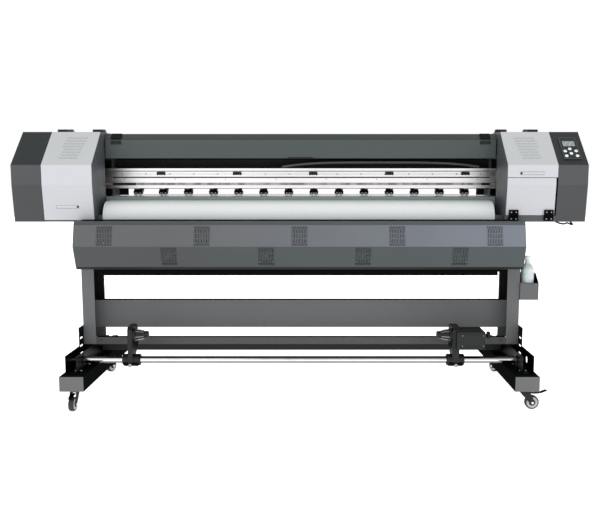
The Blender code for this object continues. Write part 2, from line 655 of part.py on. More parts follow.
# ---- waste bottle and its tray ------------------------------------------------------------
def build_waste_bottle():
    x0, x1 = COLUMN_X[1] + GAP, 1159.0
    front, back = -89.5, 0.0
    side = [(front, 466.0), (back, 466.0), (back, 591.0), (-32.5, 591.0), (front, 548.0)]
    tray = prism("waste_tray", side, "X", x0, x1, "stand_grey")
    cut(tray, boxes("waste_tray_hollow", [((x0 + 2.0, x1 - 2.0), (front + 2.0, back - 2.0),
                                           (468.0, 620.0))]))
    wall = 2.0
    radius = 31.5
    profile = [(0.0, 0.0), (radius - 3.0, 0.0), (radius, 3.0), (radius, 148.0), (24.0, 164.0),
               (14.0, 172.0), (14.0, 176.0), (13.0, 178.0), (13.0, 206.0), (13.0 - wall, 206.0),
               (13.0 - wall, 172.0), (22.5, 162.5), (radius - wall, 147.0), (radius - wall, 3.5),
               (radius - 3.5, wall), (0.0, wall)]
    place = (1114.0, -46.0, 468.0 + GAP)
    pivot(turned("waste_bottle", profile, place, (0, 0, 1), 28, "bottle"), place)


# ---- control panel ------------------------------------------------------------------------
BUTTONS = {"up": (1258.0, 103.0), "left": (1234.0, 88.0), "right": (1285.0, 89.0),
           "enter": (1259.0, 72.0), "menu": (1234.0, 56.0), "pause": (1284.0, 56.0)}
BUTTON_R = 8.0


def chamfer_box(name, x, along, height, finish=None):
    """A box that lies on the sloping top."""
    points, faces = prism_mesh([(rectangle(*x, *along), *height)], "Z")
    points = [chamfer_point(*point) for point in points]
    return make_object(name, points, faces, finish)


def build_control_panel():
    panel = chamfer_box("control_panel", (1219.0, 1301.0), (35.0, 185.0), (GAP, 4.3), "black")
    cut(panel, chamfer_box("display_window", (1232.0, 1289.0), (121.0, 159.0), (2.0, 12.0)))
    foot = Vector(chamfer_point(0.0, 0.0, 0.0))
    normal = Vector(chamfer_point(0.0, 0.0, 1.0)) - foot
    for label, (x, along) in BUTTONS.items():
        base = chamfer_point(x, along, 0.0)
        cut(panel, rod(f"{label}_button_hole", base, normal, BUTTON_R + 0.4, 12.0))
        profile = [(0.0, 1.8), (BUTTON_R, 1.8), (BUTTON_R, 5.6), (BUTTON_R - 1.0, 6.5), (0.0, 6.9)]
        button = turned(f"{label}_button", profile, base, normal, 20, "button")
        pivot(button, chamfer_point(x, along, 1.8))


def main():
    for old in list(bpy.data.objects):
        bpy.data.objects.remove(old)
    for build in (build_feet, build_arm_channels, build_columns, build_crossbars, build_casters,
                  build_base_deck, build_side_plates, build_end_caps, build_housing_shells,
                  build_lids, build_covers, build_media_path, build_dryer, build_beam,
                  build_carriage, build_capping_station, build_feed, build_takeup,
                  build_waste_bottle, build_control_panel):
        build()


main()
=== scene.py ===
import math

import bmesh
import bpy
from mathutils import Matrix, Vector


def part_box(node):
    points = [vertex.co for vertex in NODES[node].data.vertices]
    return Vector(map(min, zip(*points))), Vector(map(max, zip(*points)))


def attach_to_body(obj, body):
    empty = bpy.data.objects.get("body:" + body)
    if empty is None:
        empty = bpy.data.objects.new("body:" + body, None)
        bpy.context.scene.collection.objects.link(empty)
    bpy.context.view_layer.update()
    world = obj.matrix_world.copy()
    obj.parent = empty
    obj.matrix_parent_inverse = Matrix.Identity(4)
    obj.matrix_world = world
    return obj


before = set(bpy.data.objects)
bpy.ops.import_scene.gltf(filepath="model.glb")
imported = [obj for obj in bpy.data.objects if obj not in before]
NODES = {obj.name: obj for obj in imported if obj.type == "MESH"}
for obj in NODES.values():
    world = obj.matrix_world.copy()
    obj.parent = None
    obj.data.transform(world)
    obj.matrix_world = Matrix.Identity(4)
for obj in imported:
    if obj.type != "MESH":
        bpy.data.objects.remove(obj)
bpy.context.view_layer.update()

# Lengths are in millimetres here; the helpers turn them into metres. The places come from
# the same layout as the frame: +X right, +Y back, +Z up, origin on the floor.
MM = 0.001
STAND = "machine"             # the body that stands still
SIDES = (("left", -1), ("right", 1))


def span(node):
    """Lowest and highest corner of a CAD node, in millimetres."""
    low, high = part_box(node)
    return Vector(low) * 1000.0, Vector(high) * 1000.0


# ---- shader helpers -----------------------------------------------------------------------
def srgb(red, green, blue):
    """A linear colour from display values of 0 to 255."""
    def linear(value):
        value /= 255.0
        return value / 12.92 if value <= 0.04045 else ((value + 0.055) / 1.055) ** 2.4
    return (linear(red), linear(green), linear(blue), 1.0)


def scaled(colour, factor):
    return tuple(min(1.0, c * factor) for c in colour[:3]) + (1.0,)


class Shader:
    """A material under construction, with short calls for the nodes used here."""

    def __init__(self, name, roughness=0.5, metallic=0.0, **sockets):
        self.material = bpy.data.materials.new(name)
        self.material.use_nodes = True
        self.tree = self.material.node_tree
        self.out = self.tree.nodes["Principled BSDF"]
        self.set("Roughness", roughness)
        self.set("Metallic", metallic)
        for socket, value in sockets.items():
            self.set(socket.replace("_", " "), value)
        self.place = self.tree.nodes.new("ShaderNodeTexCoord").outputs["Object"]

    def set(self, socket, value):
        self.out.inputs[socket].default_value = value

    def link(self, source, socket):
        self.tree.links.new(source, self.out.inputs[socket])

    def node(self, kind, **inputs):
        made = self.tree.nodes.new(kind)
        for key, value in inputs.items():
            socket = made.inputs[key.replace("_", " ")]
            if isinstance(value, bpy.types.NodeSocket):
                self.tree.links.new(value, socket)
            else:
                socket.default_value = value
        return made

    def noise(self, scale, detail=3.0, stretch=None):
        place = self.place
        if stretch:
            place = self.node("ShaderNodeMapping", Vector=place, Scale=stretch).outputs[0]
        return self.node("ShaderNodeTexNoise", Vector=place, Scale=scale, Detail=detail).outputs[0]

    def ramp(self, factor, stops):
        made = self.node("ShaderNodeValToRGB", Fac=factor)
        elements = made.color_ramp.elements
        while len(elements) < len(stops):
            elements.new(0.5)
        for element, (position, colour) in zip(elements, stops):
            element.position = position
            element.color = colour if len(colour) == 4 else (*colour, 1.0)
        return made.outputs[0]

    def spread(self, factor, low, high):
        """A factor of 0 to 1 turned into a range of values."""
        return self.node("ShaderNodeMapRange", Value=factor, To_Min=low, To_Max=high).outputs[0]

    def blend(self, factor, first, second, mode="MIX"):
        made = self.tree.nodes.new("ShaderNodeMix")
        made.data_type = "RGBA"
        made.blend_type = mode
        for socket, value in (("Factor", factor), ("A", first), ("B", second)):
            target = [s for s in made.inputs if s.name == socket and s.enabled][0]
            if isinstance(value, bpy.types.NodeSocket):
                self.tree.links.new(value, target)
            else:
                target.default_value = value
        return [s for s in made.outputs if s.enabled][0]

    def facing(self, axis="Z", exact=False):
        """How far the surface faces along an axis, from 0 (against it) to 1 (along it)."""
        kind = "True Normal" if exact else "Normal"
        normal = self.tree.nodes.new("ShaderNodeNewGeometry").outputs[kind]
        part = self.node("ShaderNodeSeparateXYZ", Vector=normal).outputs[axis]
        return self.node("ShaderNodeMapRange", Value=part, From_Min=-1.0, From_Max=1.0).outputs[0]

    def toned(self, tones):
        """A colour by how far the surface faces up, painted shade and light; tones are (facing, red,
        green, blue).
        """
        stops = [((facing + 1.0) / 2.0, srgb(*colour)) for facing, *colour in tones]
        return self.ramp(self.facing(), stops) if len(stops) > 1 else stops[0][1]

    def calculate(self, operation, value):
        """A math node; 0.5 is the second value, where the operation takes one."""
        made = self.node("ShaderNodeMath", Value=value)
        made.operation = operation
        made.inputs[1].default_value = 0.5
        return made.outputs[0]

    def along(self, axis, start, end):
        """0 at start and 1 at end, both in metres along an axis of the frame."""
        part = self.node("ShaderNodeSeparateXYZ", Vector=self.place).outputs[axis]
        return self.node("ShaderNodeMapRange", Value=part, From_Min=start, From_Max=end).outputs[0]

    def bump(self, height, distance, strength=1.0):
        made = self.node("ShaderNodeBump", Height=height, Distance=distance, Strength=strength)
        self.link(made.outputs[0], "Normal")


def coated(name, tones, roughness=0.42, grain=900.0, depth=0.00006, tint=0.06, coat=0.0,
           far_tones=None, across=False, gloss=0.3):
    """Powder-coated or painted metal. tones are (facing, red, green, blue), from down to up, and the
    change with facing is painted shade and light.

    With across, the tones run from faces that look along Y (0) to faces square to it (1), painted
    shade that darkens the sides.
    far_tones is a second set that takes over towards +X, a painted gradient of light.
    """
    made = Shader(name, roughness, 0.0, Coat_Weight=coat)
    made.set(GLOSS, gloss)
    # Painted shade and light: the base colour follows the way each face points, and far_tones paint a
    # gradient of light along X.
    if across:
        size = made.calculate("ABSOLUTE", made.calculate("SUBTRACT",
                                                         made.facing("Y", exact=True)))
        flat = made.node("ShaderNodeMapRange", Value=size, From_Max=0.5, To_Min=1.0, To_Max=0.0)
        base = made.ramp(flat.outputs[0], [(place, srgb(*colour)) for place, *colour in tones])
    elif far_tones:
        base = made.blend(made.along("X", -0.6, 1.1), made.toned(tones), made.toned(far_tones))
    else:
        base = made.toned(tones)
    cloud = made.noise(2.3, 4.0)
    shade = made.ramp(cloud, [(0.3, scaled((1, 1, 1), 1.0 - tint)), (0.7, (1.0, 1.0, 1.0))])
    mottled = made.blend(1.0, base, shade, "MULTIPLY")
    speck = made.ramp(made.noise(420.0, 2.0), [(0.35, (0.93, 0.93, 0.93)), (0.6, (1, 1, 1))])
    made.link(made.blend(1.0, mottled, speck, "MULTIPLY"), "Base Color")
    wipe = made.noise(9.0, 5.0)
    made.link(made.spread(wipe, roughness - 0.07, roughness + 0.1), "Roughness")
    made.bump(made.noise(grain, 2.0), depth)
    return made.material


def moulded(name, tones, roughness=0.5, grain=1400.0, depth=0.0001, tint=0.08):
    """Moulded plastic with a fine spark-eroded grain."""
    made = Shader(name, roughness)
    made.set(GLOSS, 0.3)
    cloud = made.ramp(made.noise(3.1, 4.0), [(0.3, scaled((1, 1, 1), 1.0 - tint)), (0.7, (1, 1, 1))])
    made.link(made.blend(1.0, made.toned(tones), cloud, "MULTIPLY"), "Base Color")
    cells = made.node("ShaderNodeTexVoronoi", Vector=made.place, Scale=grain).outputs["Distance"]
    made.link(made.spread(made.noise(14.0, 4.0), roughness - 0.08, roughness + 0.08), "Roughness")
    made.bump(cells, depth, 0.6)
    return made.material


def brushed(name, colour, roughness=0.28, stretch=(3.0, 900.0, 900.0)):
    """Metal brushed along X."""
    made = Shader(name, roughness, 1.0)
    lines = made.noise(1.0, 5.0, stretch)
    patches = made.noise(2.0, 3.0)
    tone = made.ramp(lines, [(0.25, scaled(colour, 0.8)), (0.75, colour)])
    shade = made.ramp(patches, [(0.3, (0.9, 0.9, 0.9)), (0.7, (1, 1, 1))])
    made.link(made.blend(1.0, tone, shade, "MULTIPLY"), "Base Color")
    made.link(made.spread(lines, roughness - 0.08, roughness + 0.14), "Roughness")
    made.bump(lines, 0.00003)
    return made.material


def chrome(name, colour=(0.82, 0.82, 0.84, 1.0), roughness=0.1, painted_reflection=False):
    """Plated steel. A rod given painted reflection bands is darker towards its top and underside: a
    painted reflection of dark surroundings.
    """
    made = Shader(name, roughness, 1.0)
    smudge = made.noise(22.0, 4.0)
    tone = made.ramp(smudge, [(0.3, scaled(colour, 0.9)), (0.7, colour)])
    if painted_reflection:
        # Painted reflection: the rod darkens at its top and underside and stays bright between.
        dark, mid = (0.1, 0.1, 0.104), (0.5, 0.5, 0.51)
        reflection_bands = made.ramp(made.facing(), [(0.0, dark), (0.25, dark), (0.34, mid), (0.42, (1, 1, 1)),
                                          (0.62, (1, 1, 1)), (0.7, mid), (0.77, dark), (1.0, dark)])
        tone = made.blend(1.0, tone, reflection_bands, "MULTIPLY")
    made.link(tone, "Base Color")
    made.link(made.spread(smudge, roughness - 0.04, roughness + 0.1), "Roughness")
    made.bump(made.noise(60.0, 2.0), 0.00002)
    return made.material


def rubber(name, colour):
    made = Shader(name, 0.75)
    made.link(made.ramp(made.noise(35.0, 5.0), [(0.3, colour), (0.75, scaled(colour, 1.9))]),
              "Base Color")
    made.bump(made.noise(900.0, 3.0), 0.00015)
    return made.material


# ---- the finishes -------------------------------------------------------------------------
# Painted shade and light: the cap darkens on faces that point up or down.
CAP_TONES = [(-1.0, 40, 42, 44), (-0.12, 63, 64, 66), (0.0, 70, 72, 75),
             (0.15, 63, 66, 70), (0.5, 26, 33, 34), (1.0, 28, 32, 34)]
# Painted shade and light: the dryer darkens to near black on faces that point down.
DRYER_TONES = [(-1.0, 5, 9, 9), (-0.6, 5, 9, 9), (-0.4, 56, 62, 63),
               (-0.1, 85, 86, 87), (0.26, 89, 90, 92), (0.5, 70, 74, 75),
               (1.0, 66, 70, 70)]
# Painted light: lighter, bluer tones towards +X, a painted gradient of light across the dryer.
DRYER_FAR_TONES = [(-1.0, 5, 9, 9), (-0.6, 5, 9, 9), (-0.4, 60, 68, 68),
                   (-0.1, 88, 94, 98), (0.26, 116, 122, 132),
                   (0.5, 78, 84, 87), (1.0, 70, 74, 76)]
# Painted shade: lid faces that point down are darker.
PANEL_TONES = [(-0.3, 178, 178, 182), (0.0, 192, 193, 198), (0.5, 188, 191, 191),
               (1.0, 188, 190, 191)]
# Painted shade: faces square to the front stay grey, faces turned sideways darken almost to black.
STAND_TONES = [(0.0, 108, 109, 110), (0.35, 52, 53, 54), (0.8, 18, 19, 19),
               (1.0, 18, 19, 19)]
DARK_STAND_TONES = [(0.0, 88, 89, 88), (0.35, 44, 45, 45), (0.8, 18, 19, 19),
                    (1.0, 18, 19, 19)]
GLOSS = "Specular IOR Level"


def bottle_polythene():
    made = Shader("bottle_polythene", 0.38, 0.0, Transmission_Weight=0.25, IOR=1.5,
                  Subsurface_Weight=0.3, Subsurface_Scale=0.01)
    made.link(made.ramp(made.noise(30.0, 3.0), [(0.3, srgb(226, 232, 232)),
                                                (0.7, srgb(240, 244, 244))]), "Base Color")
    made.bump(made.noise(240.0, 2.0), 0.00008)
    return made.material


def encoder_strip():
    """Fine rules over a faintly pink film."""
    made = Shader("encoder_strip", 0.25)
    lines = made.node("ShaderNodeTexWave", Vector=made.place, Scale=160.0, Distortion=3.0,
                      Detail=2.0).outputs["Color"]
    patch = made.ramp(made.noise(26.0, 3.0, (1.0, 0.1, 0.1)),
                      [(0.42, srgb(150, 138, 138)), (0.6, srgb(214, 200, 202))])
    made.link(made.blend(0.35, patch, lines, "MULTIPLY"), "Base Color")
    made.bump(made.noise(300.0), 0.00005)
    return made.material


def display_glass():
    made = Shader("display_glass", 0.12, 0.0, Coat_Weight=0.6)
    grid = made.node("ShaderNodeTexBrick", Vector=made.place, Scale=260.0, Mortar_Size=0.03,
                     Color1=srgb(150, 163, 160), Color2=srgb(138, 150, 148),
                     Mortar=srgb(120, 132, 130)).outputs["Color"]
    made.link(made.blend(made.noise(60.0), grid, srgb(160, 172, 168)), "Base Color")
    return made.material


def make_finishes():
    """One material for each finish; the names are those used below."""
    return {
        "cap": moulded("cap_plastic", CAP_TONES, 0.46),
        # Painted shade and light: the cover, wall, black, white and platen tones change with the way
        # a face points.
        "cover": coated("cover_coat", [(-0.5, 50, 54, 55), (0.0, 70, 78, 78),
                                       (0.5, 52, 58, 56), (1.0, 52, 56, 55)]),
        "wall": coated("wall_coat", [(-0.2, 72, 76, 79), (0.0, 76, 80, 83),
                                     (0.5, 62, 68, 70), (1.0, 52, 56, 57)]),
        "panel": coated("panel_paint", PANEL_TONES, 0.38, 700.0, 0.00004, 0.03, coat=0.15),
        "stand": coated("stand_coat", STAND_TONES, 0.45, 600.0, 0.00012, across=True, gloss=0.0),
        # Painted shade: take-up front faces grey, sideways faces near black.
        "takeup": coated("takeup_coat", [(0.0, 50, 51, 51), (0.35, 22, 23, 23),
                                         (1.0, 5, 5, 5)], 0.35, 600.0, 0.0001, across=True,
                         gloss=0.03),
        "dark_stand": coated("dark_stand_coat", DARK_STAND_TONES, 0.45, 600.0, 0.00012,
                             across=True, gloss=0.0),
        "black": coated("black_coat", [(-1.0, 3, 3, 3), (1.0, 10, 10, 10)], 0.35,
                        650.0, 0.0001, gloss=0.03),
        # Painted shade: the slit grey stands in for the shading of the pressed louvres and the finger
        # slot edges on the light lids.
        "slit": coated("slit_shade", [(-1.0, 140, 142, 143), (1.0, 160, 162, 163)]),
        "dryer": coated("dryer_coat", DRYER_TONES, 0.4, 800.0, 0.00006, 0.07,
                        far_tones=DRYER_FAR_TONES),
        "white": coated("white_paint", [(-0.2, 210, 215, 216), (0.5, 223, 228, 229)],
                        0.35, 500.0, 0.00003, 0.03),
        "platen": coated("platen_paint", [(-0.5, 118, 130, 126), (0.2, 124, 138, 133),
                                          (1.0, 150, 162, 158)], 0.35, 900.0, 0.00003),
        "aluminium": brushed("beam_aluminium", (0.96, 0.95, 0.95, 1.0)),
        "steel": brushed("rail_steel", (0.92, 0.91, 0.91, 1.0), 0.25),
        "chrome": chrome("polished_chrome", painted_reflection=True),
        "zinc": chrome("zinc_plate", (0.34, 0.34, 0.35, 1.0), 0.3),
        "bright_hub": moulded("hub_plastic", [(0.0, 176, 178, 178)], 0.35),
        "black_plastic": moulded("black_plastic", [(0.0, 12, 12, 13)], 0.42),
        "grey_plastic": moulded("grey_plastic", [(0.0, 96, 98, 100)], 0.5),
        "white_plastic": moulded("white_plastic", [(0.0, 238, 240, 240)], 0.4, 900.0, 0.00003),
        # On the sheets behind the opening and inside the columns this black is painted shade.
        "recess": coated("recess_black", [(0.0, 9, 9, 10)], 0.6, 600.0, 0.00008),
        "tyre": rubber("tyre_rubber", srgb(34, 34, 34)),
        "cable": rubber("cable_sheath", srgb(20, 20, 21)),
        "bottle": bottle_polythene(),
        "encoder": encoder_strip(),
        "display": display_glass(),
    }


FINISH = make_finishes()
SLOT_FINISHES = {
    "end_cap": ["cap"], "charcoal_cover": ["cover", "wall"], "light_panel": ["panel", "slit"],
    "stand_frame": ["stand", "dark_stand"], "black_metal": ["takeup", "black", "recess"],
    "dryer_case": ["dryer"], "white_sheet": ["white"], "platen_metal": ["platen"],
    "bright_aluminium": ["aluminium"], "chromed_steel": ["steel", "chrome", "zinc"],
    "black_plastic": ["black_plastic", "grey_plastic", "cable", "display"],
    "white_plastic": ["bright_hub", "white_plastic", "encoder"],
    "tyre": ["tyre"], "bottle_plastic": ["bottle"],
}
SLOT = {finish: slot for slot, finishes in SLOT_FINISHES.items() for finish in finishes}

CASTERS = [f"{label}_{end}" for label in ("left", "right") for end in ("front", "rear")]
NODE_FINISH = {
    "stand": ["left_foot", "right_foot", "left_column", "right_column", "main_crossbar",
              "waste_tray"],
    "dark_stand": ["front_lower_bar"],
    "takeup": ["takeup_left_bracket", "takeup_motor_unit", "rear_lower_bar"] +
              [f"{caster}_fork" for caster in CASTERS],
    "black": ["left_arm_channel", "right_arm_channel", "apron_bar", "pinch_bar"],
    "cover": ["top_cover", "front_cover"],
    "wall": ["base_deck", "left_side_plate", "right_side_plate", "left_housing_shell",
             "right_housing_shell"],
    "cap": ["left_end_cap", "right_end_cap", "control_panel"],
    "panel": ["left_lid", "right_lid", "right_door"],
    "white": ["rear_guide", "front_apron"],
    "platen": ["platen"],
    "dryer": ["dryer_housing"],
    "aluminium": ["beam", "feed_roller", "drive_pulley", "idler_pulley"],
    "steel": ["linear_rail"],
    "chrome": ["takeup_rod", "supply_rod"],
    "black_plastic": ["carriage", "capping_station", "takeup_left_mandrel",
                      "takeup_right_mandrel", "takeup_knob"],
    "white_plastic": ["pinch_rollers"] + [f"{b}_button" for b in
                                          ("up", "left", "right", "enter", "menu", "pause")],
    "bottle": ["waste_bottle"],
    "tyre": [f"{caster}_wheel" for caster in CASTERS],
}
SOFT_EDGES = {"cap": 2.2, "panel": 1.1, "stand": 1.2, "dark_stand": 1.2, "black": 0.8,
              "cover": 0.8, "wall": 0.8, "dryer": 0.8, "black_plastic": 1.2}


def soften(made, width, harden=False):
    """Round the edges by a modifier; the width is in millimetres."""
    soft = made.modifiers.new("soft_edges", "BEVEL")
    soft.width = width * MM
    soft.segments = 2
    soft.limit_method = "ANGLE"
    soft.angle_limit = math.radians(30.0)
    soft.harden_normals = harden


def finish_nodes():
    """Give every CAD node its material, and the folded ones rounded edges."""
    for finish, names in NODE_FINISH.items():
        for name in names:
            node = NODES[name]
            node.data.materials.clear()
            node.data.materials.append(FINISH[finish])
            if finish in SOFT_EDGES and name not in ("front_apron", "rear_guide"):
                soften(node, SOFT_EDGES[finish], harden=True)


# ---- piece helpers ------------------------------------------------------------------------
def add_object(name, data):
    made = bpy.data.objects.new(name, data)
    bpy.context.scene.collection.objects.link(made)
    return made


def attach(name, data, finish, body):
    """A piece with its finish, riding on a body."""
    made = add_object(name, data)
    data.materials.append(FINISH[finish])
    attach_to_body(made, body)
    return made


def piece(name, points, faces, finish, body=STAND, bevel=0.0, smooth=False):
    """A mesh piece from points in millimetres, riding on a body."""
    mesh = bpy.data.meshes.new(name)
    mesh.from_pydata([[v * MM for v in p] for p in points], [], faces)
    work = bmesh.new()
    work.from_mesh(mesh)
    bmesh.ops.recalc_face_normals(work, faces=work.faces)
    work.to_mesh(mesh)
    work.free()
    if smooth:
        mesh.shade_smooth()
        mesh.set_sharp_from_angle(angle=math.radians(35.0))
    made = attach(name, mesh, finish, body)
    if bevel:
        soften(made, bevel)
    return made


def prism_parts(outlines, axis="X", place=None):
    """Points and faces of prisms, each (outline, start, end); outline is (y, z) for X."""
    order = {"X": lambda u, v, w: (w, u, v), "Y": lambda u, v, w: (u, w, v),
             "Z": lambda u, v, w: (u, v, w)}[axis]
    points, faces = [], []
    for outline, start, end in outlines:
        base, count = len(points), len(outline)
        for w in (start, end):
            points += [order(u, v, w) for u, v in outline]
        faces += [[base + i for i in range(count)], [base + count + i for i in range(count)]]
        for i in range(count):
            j = (i + 1) % count
            faces.append([base + i, base + j, base + count + j, base + count + i])
    if place:
        points = [place(*p) for p in points]
    return points, faces


def rect(u0, u1, v0, v1):
    return [(u0, v0), (u1, v0), (u1, v1), (u0, v1)]


def box_parts(ranges, place=None):
    outlines = [(rect(*sorted(x), *sorted(y)), min(z), max(z)) for x, y, z in ranges]
    return prism_parts(outlines, "Z", place)


def turned_parts(profile, origin, direction, segments=24):
    """Points and faces of a solid of revolution; profile holds (radius, height)."""
    axis = Vector(direction).normalized()
    side = axis.orthogonal().normalized()
    other = axis.cross(side)
    points, rings, faces = [], [], []
    for radius, height in profile:
        centre = Vector(origin) + axis * height
        if radius == 0.0:
            rings.append([len(points)])
            points.append(tuple(centre))
            continue
        rings.append([len(points) + i for i in range(segments)])
        for i in range(segments):
            turn = 2.0 * math.pi * i / segments
            points.append(tuple(centre + (side * math.cos(turn) + other * math.sin(turn)) * radius))
    for first, second in zip(rings, rings[1:] + rings[:1]):
        if len(first) == 1 and len(second) == 1:
            continue
        for i in range(segments):
            j = (i + 1) % segments
            corners = [first[i % len(first)], first[j % len(first)],
                       second[j % len(second)], second[i % len(second)]]
            faces.append(list(dict.fromkeys(corners)))
    return points, faces


def ring_parts(inner, outer, start, end, origin, direction, segments=24):
    """A tube between two heights, or a plain cylinder where inner is 0."""
    profile = [(inner, start), (outer, start), (outer, end), (inner, end)]
    return turned_parts(profile, origin, direction, segments)


def merged(parts):
    """Several (points, faces) as one."""
    points, faces = [], []
    for more_points, more_faces in parts:
        base = len(points)
        points += more_points
        faces += [[base + i for i in face] for face in more_faces]
    return points, faces


def screw_parts(origin, direction, radius=3.2, height=1.6):
    """A pan-head screw with a cross recess suggested by a hollow centre."""
    profile = [(radius, 0.0), (radius, height * 0.5), (radius * 0.8, height),
               (radius * 0.35, height), (radius * 0.3, height * 0.5), (0.0, height * 0.45),
               (0.0, 0.0)]
    return turned_parts(profile, origin, direction, 14)


def screws(name, places, direction, finish="zinc", body=STAND, radius=3.2, height=1.6):
    parts = [screw_parts(place, direction, radius, height) for place in places]
    return piece(name, *merged(parts), finish, body, smooth=True)


def hose(name, points, radius, finish, body=STAND):
    """A captive cable or hose through the points, as a smooth round tube."""
    curve = bpy.data.curves.new(name, "CURVE")
    curve.dimensions = "3D"
    curve.bevel_depth = radius * MM
    curve.bevel_resolution = 4
    curve.use_fill_caps = True
    curve.resolution_u = 8
    line = curve.splines.new("NURBS")
    line.points.add(len(points) - 1)
    for target, place in zip(line.points, points):
        target.co = (*[v * MM for v in place], 1.0)
    line.use_endpoint_u = True
    line.order_u = 4
    return attach(name, curve, finish, body)


# ---- the sloping tops ---------------------------------------------------------------------
FRONT_Y, CHAMFER_Z = -232.5, 1118
CHAMFER_Y, TOP_Z = -69.5, 1276
KNEE_Z = 1027
SLOPE = Vector((CHAMFER_Y - FRONT_Y, TOP_Z - CHAMFER_Z)).normalized()


def on_slope(x, along, height):
    """A point over the sloping top: along it from its lower edge, height above it."""
    return (x, FRONT_Y + SLOPE.x * along - SLOPE.y * height,
            CHAMFER_Z + SLOPE.y * along + SLOPE.x * height)


def louvre_ridge(x, along, length, width, height, lean):
    """A low pressed ridge with rounded ends, leaning across the slope."""
    points, faces = [], []
    direction = Vector((math.sin(lean), math.cos(lean)))
    side = Vector((direction.y, -direction.x))
    rings = []
    steps = 7
    for i in range(steps):
        t = i / (steps - 1)
        swell = math.sin(math.pi * min(max(t, 0.04), 0.96)) ** 0.4
        centre = Vector((x, along)) + direction * length * (t - 0.5)
        ring = []
        for j in range(6):
            turn = math.pi * j / 5
            off = side * math.cos(turn) * width * 0.5 * swell
            ring.append(len(points))
            points.append(on_slope(centre.x + off.x, centre.y + off.y,
                                   math.sin(turn) * height * swell - 0.1))
        rings.append(ring)
    for first, second in zip(rings, rings[1:]):
        for a, b in zip(range(5), range(1, 6)):
            faces.append([first[a], first[b], second[b], second[a]])
        faces.append([first[0], second[0], second[5], first[5]])
    faces += [rings[0][::-1], rings[-1]]
    return points, faces


def build_louvres():
    """Two leaning groups of pressed louvres on each lid's slope."""
    for label, side in SIDES:
        parts = []
        for group, (foot, count) in enumerate(((46, 8), (124, 9))):
            for row in range(4):
                for i in range(count):
                    shift = (row * 11 + group * 22) * side
                    x = (1079 if side > 0 else -1066) + (i - count / 2) * 11 - shift * 0.3
                    parts.append(louvre_ridge(x, foot + row * 19.5, 15, 3.6, 1.5, side * 0.75))
        # Painted shade: grey louvre ridges on the light lid.
        piece(f"{label}_lid_louvres", *merged(parts), "slit", f"{label}_lid", smooth=True)


def slot_frame(name, x0, x1, z, y_at, body, dot_side):
    """A finger slot: a pressed frame, a lip inside it and a lock at one end."""
    y = y_at(z)
    bars = [((x0, x1), (y - 1.2, y + 0.6), (z + 5.5, z + 7.5)),
            ((x0, x1), (y - 1.2, y + 0.6), (z - 7.5, z - 5.5)),
            ((x0 - 2, x0), (y - 1.2, y + 0.6), (z - 7.5, z + 7.5)),
            ((x1, x1 + 2), (y - 1.2, y + 0.6), (z - 7.5, z + 7.5))]
    # Painted shade: the grey rim stands in for the shaded edge of the pressed slot.
    piece(f"{name}_rim", *box_parts(bars), "slit", body, 0.6)
    piece(f"{name}_lip", *box_parts([((x0, x1), (y - 0.5, y + 0.5), (z - 5.5, z + 5.5))]), "panel",
          body, 0.3)
    x = x1 - 3 if dot_side > 0 else x0 + 3
    profile = [(0, -0.4), (4.8, -0.4), (4.8, 1.8), (3.6, 2.4), (0, 2.4)]
    piece(f"{name}_lock", *turned_parts(profile, (x, y, z), (0, -1, 0), 20), "black_plastic", body,
          smooth=True)


def build_lid_trim():
    slope_x = (-213.5 - FRONT_Y) / (864.5 - KNEE_Z)
    slot_frame("left_lid_slot", -1126, -1024, 926,
               lambda z: FRONT_Y + slope_x * (z - KNEE_Z), "left_lid", 1)
    slot_frame("right_lid_slot", 1014, 1120, 1080, lambda z: FRONT_Y, "right_lid", -1)
    # moving leaves of the lid hinges
    knuckles = {"left": ((-1188, -1141), (-1017, -972)),
                "right": ((952, 998), (1109, 1158))}
    leaf = [(14.5, 1276), (-26, 1276), (-26, 1278), (-6, 1279.5), (8.6, 1281),
            (9.2, 1279), (14.5, 1277)]
    back = [(19, 1276), (44, 1276), (44, 1279), (24, 1291), (19, 1292.4)]
    core = [(17.5 + 8.2 * math.cos(a), 1285 + 7.8 * math.sin(a))
            for a in [math.radians(t) for t in range(-140, 220, 30)]]
    for label, ranges in knuckles.items():
        fronts = [(leaf, a + 1, b - 1) for a, b in ranges]
        piece(f"{label}_lid_hinge_leaves", *prism_parts(fronts), "black_plastic", f"{label}_lid", 0.6)
        rears = [(core, a + 0.5, b - 0.5) for a, b in ranges]
        rears += [(back, a - 0.5, b + 0.5) for a, b in ranges]
        piece(f"{label}_lid_hinge_backs", *prism_parts(rears), "black_plastic", STAND, 0.5)
    y, z = -222, 886        # the drop-down door's hinge line
    for number, (x0, x1) in enumerate(((968, 1012), (1131, 1175))):
        upper = box_parts([((x0, x1), (y - 3.5, y + 2), (889, 912))])
        knuckle = ring_parts(0, 5, 0, x1 - x0 - 20, (x0 + 10, y, z), (1, 0, 0), 18)
        piece(f"door_hinge_{number}_upper", *merged([upper, knuckle]), "black", "right_door", 0.8,
              smooth=True)
        lower = box_parts([((x0, x1), (y - 1.5, y + 8), (861, 883))])
        ends = [ring_parts(0, 5, 0, 8.5, (x, y, z), (1, 0, 0), 18) for x in (x0, x1 - 8.5)]
        piece(f"door_hinge_{number}_lower", *merged([lower] + ends), "black", STAND, 0.8, smooth=True)
        bolts = [(x, y - 3.5, 901) for x in (x0 + 11, x1 - 11)]
        screws(f"door_hinge_{number}_bolts", bolts, (0, -1, 0), body="right_door", radius=3.4)
        bolts = [(x, y - 1.5, 870) for x in (x0 + 11, x1 - 11)]
        screws(f"door_hinge_{number}_feet", bolts, (0, -1, 0), radius=3.4)


